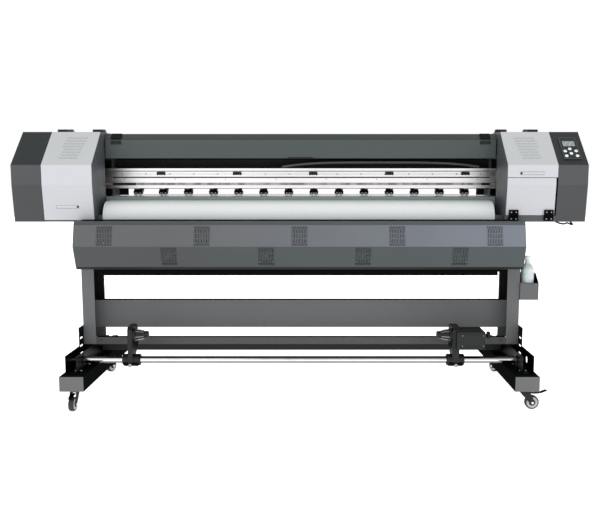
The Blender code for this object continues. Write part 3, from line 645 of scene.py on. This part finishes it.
def build_cover_hinges():
    """Two black hinges on the crease of the front cover."""
    for label, side in SIDES:
        x = side * 893
        leaf = box_parts([((x - 25, x + 25), (-36, -31.5), (1219, 1236))])
        upper = [(-31, 1246), (-6, 1269), (-8.5, 1272), (-34.5, 1248)]
        piece(f"{label}_cover_hinge_front", *leaf, "takeup", "front_cover", 0.8)
        top = prism_parts([(upper, x - 25, x + 25)])
        piece(f"{label}_cover_hinge_top", *top, "takeup", STAND, 0.8)
        barrel = ring_parts(0, 1, -24, 24, (x, -33.5, 1241.5), (1, 0, 0), 16)
        piece(f"{label}_cover_hinge_pin", *barrel, "black", STAND, smooth=True)
        screws(f"{label}_cover_hinge_screws", [(x - 15, -36, 1228), (x + 15, -36, 1228)],
               (0, -1, 0), "black_plastic", "front_cover")


# ---- beam, rail, pinch rollers ------------------------------------------------------------
def build_beam_trim():
    y = 97.5                # the beam's front face
    # encoder strip, carriage belt and their holders
    strip = box_parts([((-830, 930), (y - 1.4, y - 0.6), (1021, 1032))])
    piece("encoder_strip", *strip, "encoder", bevel=0.2)
    dark = box_parts([((-948, -831), (82.2, 83), (1020, 1032)),
                      ((905, 948), (82.2, 83), (1020, 1032))])
    piece("encoder_strip_ends", *dark, "recess", bevel=0.2)
    belt = [((-1170, 1170), (83.2, 84.6), (1021, 1031))]
    piece("carriage_belt", *box_parts(belt), "encoder", bevel=0.2)
    lines = [((-949, 949), (y - 0.7, y + 1), (1056, 1062)),
             ((-949, 949), (y - 0.7, y + 1), (1089, 1092)),
             ((-949, 949), (y - 0.7, y + 1), (1002.6, 1005.2))]
    piece("beam_groove_seals", *box_parts(lines), "recess", bevel=0.2)
    clips = []
    lugs = []
    for i in range(5):
        x = -704 + i * 382
        clips.append(((x - 21, x + 21), (y - 15, y - 12.5), (1079, 1087.5)))
        clips.append(((x - 12, x + 12), (y - 16.5, y - 12.5), (1071, 1081)))
        for dx in (-17, 17):
            lugs.append(turned_parts([(0, 0), (5.2, 0), (5.2, 3.2), (4, 4.2), (0, 4.2)],
                                     (x + dx, y - 12.3, 1075), (0, -1, 0), 16))
    piece("rail_clips", *merged([box_parts(clips)] + lugs), "black_plastic", bevel=0.5, smooth=True)
    places = [(-900 + i * 120, 87.5, 1076) for i in range(16)]
    screws("rail_screws", places, (0, -1, 0), radius=3.4, height=1.2)
    places = [(-890 + i * 254, y, 1050) for i in range(8)]
    screws("beam_screws", places, (0, -1, 0), radius=3, height=1)


def build_pinch_trim():
    """Black spring plates over the pinch heads, with their coil springs and collars."""
    count, pitch = 14, 126.5
    plates, dots, springs, collars = [], [], [], []
    for i in range(count):
        x = (i - (count - 1) / 2) * pitch
        plates.append(((x - 19, x + 19), (83.4, 85.2), (986, 1002)))
        for foot in (-11, 11):
            plates.append(((x + foot - 6, x + foot + 6), (83.4, 85.2), (975, 986.2)))
            dots.append(turned_parts([(0, 0), (3.2, 0), (3.2, 0.6), (0, 0.8)],
                                     (x + foot, 83.5, 981), (0, -1, 0), 14))
        for turn in range(3):
            at = (x, 122 + turn * 0.1, 990.5 + turn * 1.5)
            springs.append(ring_parts(2.6, 3.6, 0, 1, at, (0, 0, 1), 14))
        collars.append(((x - 7, x + 7), (176, 194), (1019.4, 1024)))
    piece("pinch_covers", *box_parts(plates), "black", "pinch_bar", 0.5)
    piece("pinch_rivets", *merged(dots), "bright_hub", "pinch_bar", smooth=True)
    piece("pinch_springs", *merged(springs), "zinc", "pinch_bar", smooth=True)
    piece("pinch_collars", *box_parts(collars), "black", "pinch_bar", 0.6)


def build_platen_trim():
    """Rows of suction holes' countersinks and the strip in the cutting groove."""
    rings = []
    for row, y in enumerate((-12, 14, 40)):
        for i in range(52):
            x = -918 + i * 36 + (row % 2) * 12
            profile = [(1.6, 0), (3, 0), (2.7, 0.25), (1.9, 0.25)]
            rings.append(turned_parts(profile, (x, y, 966), (0, 0, 1), 10))
    piece("platen_suction_rims", *merged(rings), "zinc", smooth=True)
    groove = box_parts([((-930, 930), (56, 60), (965.9, 966.25))])
    piece("platen_cutting_strip", *groove, "white_plastic", bevel=0.1)


DUCT_START, DUCT_LENGTH = -96, 992


def duct_height(x):
    """Middle of the ink duct: it rises out of its shelf, runs level and sinks again."""
    t = (x - DUCT_START) / DUCT_LENGTH
    return 1110 + 22 * (1 - abs(2 * t - 1) ** 4)


def build_interior():
    """What shows behind the opening: a black back wall, the ink duct and end screens; the black wall
    and screens are painted shade.
    """
    wall = [((-950, 950), (203, 205), (1016, 1262)),
            ((-950, 950), (161, 203), (1240, 1242))]
    piece("inner_back_wall", *box_parts(wall), "recess", bevel=0.4)
    screens = [((-950, -900), (206, 208), (967, 1016)),
               ((906, 950), (206, 208), (967, 1016))]
    piece("rear_slot_screens", *box_parts(screens), "recess", bevel=0.3)
    shelf = [((-950, 950), (100, 160), (1104.5, 1106.5)),
             ((-950, 950), (158, 160), (1106, 1150))]
    piece("duct_shelf", *box_parts(shelf), "recess", bevel=0.4)
    links = []
    xs = [DUCT_START + i * 16 for i in range(63)]
    for x in xs:
        z = duct_height(x)
        links.append(((x - 7.4, x + 7.4), (108, 132), (z - 6, z + 6)))
    piece("ink_duct_links", *box_parts(links), "black_plastic", bevel=1)
    rails = []
    for x0, x1 in zip(xs, xs[1:]):
        z = duct_height((x0 + x1) / 2)
        rails.append(((x0, x1), (104.5, 107.8), (z - 3, z + 7)))
    piece("ink_duct_edge", *box_parts(rails), "grey_plastic", bevel=0.6)


# ---- control panel ------------------------------------------------------------------------
def outline_parts(x0, x1, s0, s1, width, heights):
    """The four bars of a rectangle on the slope."""
    bars = (((x0, x0 + width), (s0, s1)), ((x1 - width, x1), (s0, s1)),
            ((x0, x1), (s0, s0 + width)), ((x0, x1), (s1 - width, s1)))
    return box_parts([(x, s, heights) for x, s in bars], on_slope)


def build_panel_trim():
    border = outline_parts(1221, 1299, 37, 183, 1.3, (4.1, 4.55))
    piece("panel_border", *border, "grey_plastic", bevel=0.1)
    rim = outline_parts(1230, 1291, 119, 161, 2, (4.2, 5.4))
    piece("display_rim", *rim, "black_plastic", bevel=0.4)
    piece("display_screen", *box_parts([((1232.3, 1288.7), (121.3, 158.7), (2.1, 3.6))], on_slope),
          "display", bevel=0.3)
    rows = []
    for row in range(4):
        for column in range(9):
            if (row * 7 + column * 5) % 4 == 0:
                continue
            x = 1236.5 + column * 5.6
            s = 127 + row * 8
            rows.append(((x, x + 3.6), (s, s + 4.2), (3.5, 3.8)))
    piece("display_segments", *box_parts(rows, on_slope), "grey_plastic", bevel=0.05)
    marks = {"up": (1258, 103, 90), "left": (1234, 88, 180), "right": (1285, 89, 0)}
    for label, (x, s, angle) in marks.items():
        turn = math.radians(angle)
        outline = []
        for radius, offset in ((3.6, 0), (2.8, 140), (2.8, -140)):
            a = turn + math.radians(offset)
            outline.append((x + radius * math.cos(a), s + radius * math.sin(a)))
        piece(f"{label}_button_mark", *prism_parts([(outline, 6.75, 7.15)], "Z", on_slope),
              "grey_plastic", f"{label}_button", 0.05)


# ---- dryer --------------------------------------------------------------------------------
def fan_blade(turn, x, place):
    """One twisted blade, starting at an angle; place sets it over its opening."""
    points, faces = [], []
    for k in range(5):
        for radius in (10, 32):
            a = turn + k * 0.16 + (radius - 10) * 0.012
            for thick in (0, 1.4):
                points.append(place(x + radius * math.cos(a), radius * math.sin(a),
                                    -14 + k * 1.8 + thick))
    for b in range(0, 16, 4):
        faces += [[b, b + 2, b + 6, b + 4], [b + 1, b + 5, b + 7, b + 3],
                  [b, b + 4, b + 5, b + 1], [b + 2, b + 3, b + 7, b + 6]]
    faces += [[0, 1, 3, 2], [16, 18, 19, 17]]
    return points, faces


def build_dryer_trim():
    """A slotted grille, a fan and a finger guard in each opening of the dryer."""
    upper = (Vector((-312.5, 750)), Vector((-287.5, 846)), 797,
             (-888, -444, 0, 444, 888))
    half = 36.4         # half the side of a grille
    lower = (Vector((-277.5, 653)), Vector((-312.5, 750)), 703, (-596, -152, 290, 732))
    for row, (foot, head, middle, centres) in enumerate((upper, lower)):
        run = (head - foot).normalized()
        normal = Vector((-run.y, run.x))
        start = foot + run * ((middle - foot.y) / run.y)

        def place(x, s, h, start=start, run=run, normal=normal):
            at = start + run * s + normal * h
            return (x, at.x, at.y)

        for number, x in enumerate(centres):
            name = f"dryer_grille_{row}_{number}"
            columns = [x - half + 3.7 + i * (2 * half - 7.4) / 9 for i in range(10)]
            bars = [((bx - 2.1, bx + 2.1), (-half, half), (-3.2, -0.6)) for bx in columns]
            bars += [((x - half, x + half), (s - 2, s + 2), (-3.6, -2.2))
                     for s in (-half + 2, -12, 12, half - 2)]
            piece(name, *box_parts(bars, place), "dryer", bevel=0.5)
            teeth = [((bx - 1.6, bx + 1.6), (s - 4.5, s + 4.5), (-0.2, 0.35))
                     for bx in columns for s in (half + 4.5, -half - 4.5)]
            piece(f"{name}_teeth", *box_parts(teeth, place), "recess", bevel=0.15)
            blades = [fan_blade(2 * math.pi * blade / 7, x, place) for blade in range(7)]
            axis_point = place(x, 0, -16)
            direction = (0, normal.x, normal.y)
            hub = turned_parts([(0, 0), (11, 0), (11, 9), (9.5, 10.5), (0, 10.5)],
                               axis_point, direction, 20)
            piece(f"{name}_fan", *merged(blades + [hub]), "grey_plastic", smooth=True)
            shroud = ring_parts(33.5, 38.5, -4, 12, axis_point, direction, 28)
            piece(f"{name}_shroud", *shroud, "black_plastic", smooth=True)
    heads = [(-1000 + i * 250, -280.5, 853.5) for i in range(9)]
    screws("dryer_top_screws", heads, (0, -0.85, 0.53), "black_plastic", radius=3)
    rear = [((-1005, 1005), (-231, -229.5), (z, z + 20)) for z in range(650, 850, 22)]
    piece("dryer_rear_slats", *box_parts(rear), "black", bevel=0.4)
    posts = [((x - 4, x + 4), (-229.5, -228), (643, 859)) for x in
             (-1001, -668, -334, 0, 334, 668, 1001)]
    piece("dryer_rear_posts", *box_parts(posts), "black", bevel=0.3)


# ---- stand --------------------------------------------------------------------------------
def build_stand_trim():
    for label, side in SIDES:
        low, high = span(f"{label}_foot")
        plate = box_parts([((low.x + 2, high.x - 2), (low.y + 0.2, low.y + 2.2), (101, 163))])
        piece(f"{label}_foot_end_plate", *plate, "stand", bevel=0.6)
        bolts = [(side * 1032 + dx, y, 169.3) for dx in (-8, 16)
                 for y in (-300, -180, 180, 300)]
        screws(f"{label}_channel_bolts", bolts, (0, 0, 1), radius=6, height=4.5)
        for part, x, ys, zs, radius, height in (
                ("riser", 1072, (-40, 45), (262, 320), 6.5, 4),
                ("crossbar", 1068.7, (-10, 25), (345, 420), 6, 3.5),
                ("column", 1068.7, (-60, 65), (700, 780), 5, 3)):
            bolts = [(side * x, y, z) for y in ys for z in zs]
            screws(f"{label}_{part}_bolts", bolts, (side, 0, 0), radius=radius, height=height)
        # corner plate under the deck
        gusset = [(-60, 852), (70, 852), (70, 838), (-60, 838)]
        inner = sorted((side * 1001.5, side * 1007.5))
        piece(f"{label}_column_gusset", *prism_parts([(gusset, *inner)]), "stand", bevel=0.5)
        for end, y, z in (("front", -232.5, 206), ("rear", 232.5, 188)):
            name = f"{label}_{end}_rod_bush"
            bush = ring_parts(17.4, 24, 0, 3, (side * 1017.6, y, z), (side, 0, 0))
            piece(name, *bush, "black_plastic", smooth=True)
    places = [(x, -82.5, 264.5) for x in (-985, 985)]
    screws("lower_bar_bolts", places, (0, -1, 0), "dark_stand", radius=5, height=3)


def build_column_shade_sheets():
    """Black sheets of painted shade inside the open columns, on their rear walls."""
    for label, side in SIDES:
        across = (1011.5, 1065) if side > 0 else (-1065, -1011.5)
        piece(f"{label}_column_shade_sheet", *box_parts([(across, (83.2, 84.7), (292, 840))]),
              "recess", bevel=0.3)


def build_caster_trim():
    angles = {("left", "front"): 270, ("right", "front"): 0,
              ("left", "rear"): 245, ("right", "rear"): 295}
    for (label, end), angle in angles.items():
        centre = Vector((1038 if label == "right" else -1038,
                         -332.5 if end == "front" else 332.5, 0))
        roll = Vector((math.cos(math.radians(angle)), math.sin(math.radians(angle)), 0))
        axle = Vector((-roll.y, roll.x, 0))

        def place(u, v, w, centre=centre, roll=roll, axle=axle):
            return tuple(centre + roll * u + axle * v + Vector((0, 0, w)))

        fork = f"{label}_{end}_fork"
        # brake pedal: a bent plate over the wheel, with a rolled tip
        pedal = [(14, 78), (44, 76), (70, 79), (92, 88), (100, 88.5),
                 (100, 85), (93, 84), (72, 75.5), (44, 72.5), (14, 75)]
        if angle == 270:      # pressed down, so it lies against the wheel
            pedal = [(14, 78), (44, 76.5), (57, 71), (63, 62), (60.5, 60.5),
                     (55, 68), (43, 73), (14, 75)]
        points, faces = prism_parts([(pedal, -10.5, 10.5)], "Y")
        piece(f"{fork}_brake_pedal", [place(*p) for p in points], faces, "black", fork, 0.8)
        ring = ring_parts(25, 27.5, 0, 3, centre + Vector((0, 0, 91)), (0, 0, 1), 28)
        piece(f"{fork}_bearing_ring", *ring, "zinc", fork, smooth=True)
        hub = centre + roll * 32 + Vector((0, 0, 32))
        bolt = []
        for way in (-1, 1):
            at = hub + axle * 16 * way
            bolt.append(turned_parts([(0, 0), (6, 0), (6, 3.5), (4.5, 4.5), (0, 4.5)],
                                     tuple(at), tuple(axle * way), 6))
        piece(f"{fork}_axle_bolt", *merged(bolt), "steel", fork)
        cap = []
        for way in (-1, 1):
            at = hub + axle * 9.5 * way
            cap.append(turned_parts([(14, 0), (25, 0), (25.5, 2), (22, 3.4), (15, 3)],
                                    tuple(at), tuple(axle * way), 32))
        piece(f"{label}_{end}_wheel_hub", *merged(cap), "bright_hub", f"{label}_{end}_wheel",
              smooth=True)


# ---- take-up ------------------------------------------------------------------------------
def build_takeup_trim():
    for body, x0, x1, leg0, leg1 in (("takeup_left_bracket", -836, -754, -807, -784),
                                     ("takeup_motor_unit", 690, 772, 713, 746)):
        base = [(-262.5, 198), (-262.5, 186), (-250, 178.5), (-215, 178.5), (-203, 188),
                (-203, 198)]
        blocks = prism_parts([(base, x0 + 8, x1 - 8)])
        piece(f"{body}_clamp_block", *blocks, "black", body, 1.2)
        ears = turned_parts([(0, 0), (8, 0), (9, 3), (9, 10), (6, 13), (0, 13)],
                            ((leg0 + leg1) / 2, -264, 187), (0, -1, 0), 10)
        piece(f"{body}_clamp_screw", *ears, "zinc", body, smooth=True)
        middle = (leg0 + leg1) / 2
        face = [(middle, -262, z) for z in (238, 290)]
        screws(f"{body}_leg_screws", face, (0, -1, 0), "black_plastic", body, 4)
        cheek = box_parts([((leg0 + 3, leg1 - 3), (-263.2, -261.5), (212, 340))])
        piece(f"{body}_leg_face", *cheek, "takeup", body, 0.6)
    for body, x, way in (("takeup_left_mandrel", -783.7, 1), ("takeup_right_mandrel", 712.7, -1)):
        ribs = []
        axis = (x, -232.5, 326)
        for i in range(6):
            a = math.radians(60 * i + 15)
            c, s = math.cos(a), math.sin(a)
            outline = [(16, 13), (27, 13), (24.5, 34), (20.5, 50), (16, 50)]
            points, faces = [], []
            for off in (-1.6, 1.6):
                points += [(axis[0] + way * h, axis[1] + r * c - off * s, axis[2] + r * s + off * c)
                           for r, h in outline]
            faces += [[0, 1, 2, 3, 4], [5, 6, 7, 8, 9]]
            faces += [[k, (k + 1) % 5, 5 + (k + 1) % 5, 5 + k] for k in range(5)]
            ribs.append((points, faces))
        piece(f"{body}_ribs", *merged(ribs), "zinc", body, 0.4)
    unit = "takeup_motor_unit"
    seams = [((747, 861), (-279, -277.6), (z, z + 1.2)) for z in (276, 336)]
    piece("takeup_box_seams", *box_parts(seams), "recess", unit, 0.2)
    lid = box_parts([((748, 860), (-277, -161), (345.5, 347.6))])
    piece("takeup_box_lid", *lid, "black", unit, 0.8)
    vents = [((861.5, 863), (-265 + i * 9, -260 + i * 9), (272, 298)) for i in range(10)]
    piece("takeup_box_vents", *box_parts(vents), "recess", unit, 0.3)
    corners = [(756, -278, 281), (854, -278, 281), (756, -278, 330),
               (854, -278, 330)]
    screws("takeup_box_screws", corners, (0, -1, 0), "zinc", unit, 2.6)
    grips = []
    for i in range(18):
        a = 2 * math.pi * i / 18
        at = (880, -232.5 + 16.6 * math.cos(a), 323 + 16.6 * math.sin(a))
        grips.append(ring_parts(0, 1.3, 0, 11, at, (1, 0, 0), 8))
    piece("takeup_knob_grips", *merged(grips), "black_plastic", "takeup_knob", smooth=True)


# ---- right-hand bottle, cables, back ------------------------------------------------------
def build_bottle_trim():
    cap = [(13.6, 0), (17, 0), (17, 14), (15.5, 16), (6.5, 16), (6.5, 13),
           (13.6, 13)]
    piece("bottle_cap", *turned_parts(cap, (1114, -46, 662), (0, 0, 1), 24), "white_plastic",
          "waste_bottle", smooth=True)
    rings = []
    for z in (500, 530, 560, 590):
        rings.append(turned_parts([(31.4, 0), (32.2, 0.8), (32.2, 2.2), (31.4, 3)],
                                  (1114, -46, z), (0, 0, 1), 32))
    piece("bottle_ribs", *merged(rings), "bottle", "waste_bottle", smooth=True)


def build_cables():
    hose("drain_cable", [(1216, -110, 858), (1218, -112, 850), (1240, -118, 842),
                         (1262, -120, 838), (1272, -118, 846), (1284, -114, 842),
                         (1300, -110, 835), (1306, -108, 836), (1300, -96, 846),
                         (1290, -90, 858)], 4.2, "cable")


def build_back():
    """The rear: louvres, screws, the power inlet with its pins, and the power switch."""
    y = 232.5
    for label, side in SIDES:
        slats = []
        for i in range(9):
            z = 960 + i * 14
            x = sorted((side * 1000, side * 1140))
            outline = [(y - 0.5, z), (y + 0.6, z), (y + 0.6, z + 3), (y - 0.5, z + 6)]
            slats.append((outline, *x))
        piece(f"{label}_rear_louvres", *prism_parts(slats), "recess", bevel=0.2)
        for part, xs, zs in (("rear", (968, 1172), (900, 1080, 1240)),
                             ("cap", (1200, 1312), (872, 1060, 1240))):
            places = [(side * x, y, z) for x in xs for z in zs]
            screws(f"{label}_{part}_screws", places, (0, 1, 0), radius=3.4, height=0.8)
    places = [(-930 + i * 206, y, z) for i in range(10) for z in (1022, 1240)]
    screws("rear_cover_screws", places, (0, 1, 0), radius=3, height=0.8)
    inlet = [((-1290, -1240), (y - 0.6, y + 0.9), (900, 930))]
    piece("power_inlet_flange", *box_parts(inlet), "black_plastic", bevel=0.6)
    blades = [((-1272 + i * 7, -1270 + i * 7), (y - 0.5, y + 1.4), (910, 920))
              for i in range(3)]
    piece("power_inlet_pins", *box_parts(blades), "zinc", bevel=0.2)
    switch = box_parts([((-1228, -1208), (y - 0.5, y + 1.4), (902, 928))])
    piece("power_switch", *switch, "black_plastic", bevel=1)


def build_roof_trim():
    places = [(-900 + i * 200, 60, 1270) for i in range(10)]
    screws("roof_screws", places, (0, 0, 1), "black_plastic", radius=3.4, height=1.4)
    grip = box_parts([((-60, 60), (-35.4, -32.4), (1153, 1157))])
    piece("front_cover_grip", *grip, "black_plastic", "front_cover", 0.8)


def build_carriage_trim():
    x = 1068                # where the carriage parks
    body = "carriage"
    hood = [(-29, 1010), (-27.4, 1010), (-27.4, 1098), (-29, 1096)]
    piece("carriage_front_plate", *prism_parts([(hood, x - 60, x + 60)]), "grey_plastic", body, 0.5)
    heads = box_parts([((x - 46 + i * 36, x - 22 + i * 36), (-5, 55), (973.2, 976.4))
                       for i in range(3)])
    piece("print_head_faces", *heads, "zinc", body, 0.5)
    tubes = []
    for i in range(4):
        tubes.append(turned_parts([(0, 0), (7, 0), (7, 6), (3.5, 7), (3.5, 9.5),
                                   (0, 9.5)], (x - 45 + i * 30, 28, 1139.5), (0, 0, 1), 18))
    piece("damper_caps", *merged(tubes), "black_plastic", body, smooth=True)
    pads = box_parts([((x - 44 + i * 34, x - 20 + i * 34), (-6, 50), (950, 970.5))
                      for i in range(3)])
    piece("capping_pads", *pads, "cable", bevel=1.5)


# ---- camera, light, floor -----------------------------------------------------------------
SENSOR, LENS = 36.0, 43.62          # millimetres
CAMERA_PLACE = (0.084, -3.5895, 1.086)
CAMERA_DIP = 6.824                  # degrees below level


def build_camera():
    camera = bpy.data.cameras.new("camera")
    camera.sensor_width = SENSOR
    camera.lens = LENS
    camera.shift_x = -0.03
    camera.clip_end = 100.0
    made = add_object("camera", camera)
    made.location = CAMERA_PLACE
    made.rotation_euler = (math.radians(90.0 - CAMERA_DIP), 0.0, 0.0)
    bpy.context.scene.camera = made


def area_light(name, place, target, size, power):
    light = bpy.data.lights.new(name, "AREA")
    light.shape = "RECTANGLE"
    light.size, light.size_y = size
    light.energy = power
    made = add_object(name, light)
    made.location = place
    made.rotation_euler = (Vector(target) - Vector(place)).to_track_quat("-Z", "Y").to_euler()


def build_studio():
    world = bpy.data.worlds.new("studio")
    bpy.context.scene.world = world
    world.use_nodes = True
    background = world.node_tree.nodes["Background"]
    background.inputs["Color"].default_value = (1.0, 1.0, 1.0, 1.0)
    background.inputs["Strength"].default_value = 1.0
    area_light("key", (-2.2, -4.6, 2.6), (0.0, 0.0, 0.8), (3.0, 2.0), 22.0)
    area_light("fill", (3.4, -3.6, 1.6), (0.0, 0.0, 0.7), (2.0, 2.0), 10.0)
    size = 14.0
    mesh = bpy.data.meshes.new("floor")
    mesh.from_pydata([(-size, -size, 0), (size, -size, 0), (size, size, 0), (-size, size, 0)], [],
                     [[0, 1, 2, 3]])
    floor = add_object("floor", mesh)
    made = Shader("pale_floor", 0.9)
    made.link(made.ramp(made.noise(0.8), [(0.3, (0.92, 0.92, 0.92)), (0.7, (0.94, 0.94, 0.94))]),
              "Base Color")
    made.set("Emission Color", (1.0, 1.0, 1.0, 1.0))
    made.set("Emission Strength", 0.7)
    mesh.materials.append(made.material)
    bpy.context.scene.view_settings.view_transform = "Standard"


def main():
    build_camera()
    finish_nodes()
    for build in (build_column_shade_sheets, build_louvres, build_lid_trim, build_cover_hinges,
                  build_beam_trim, build_pinch_trim, build_platen_trim, build_interior,
                  build_panel_trim, build_dryer_trim, build_stand_trim, build_caster_trim,
                  build_takeup_trim, build_bottle_trim, build_cables, build_back,
                  build_roof_trim, build_carriage_trim, build_studio):
        build()


main()
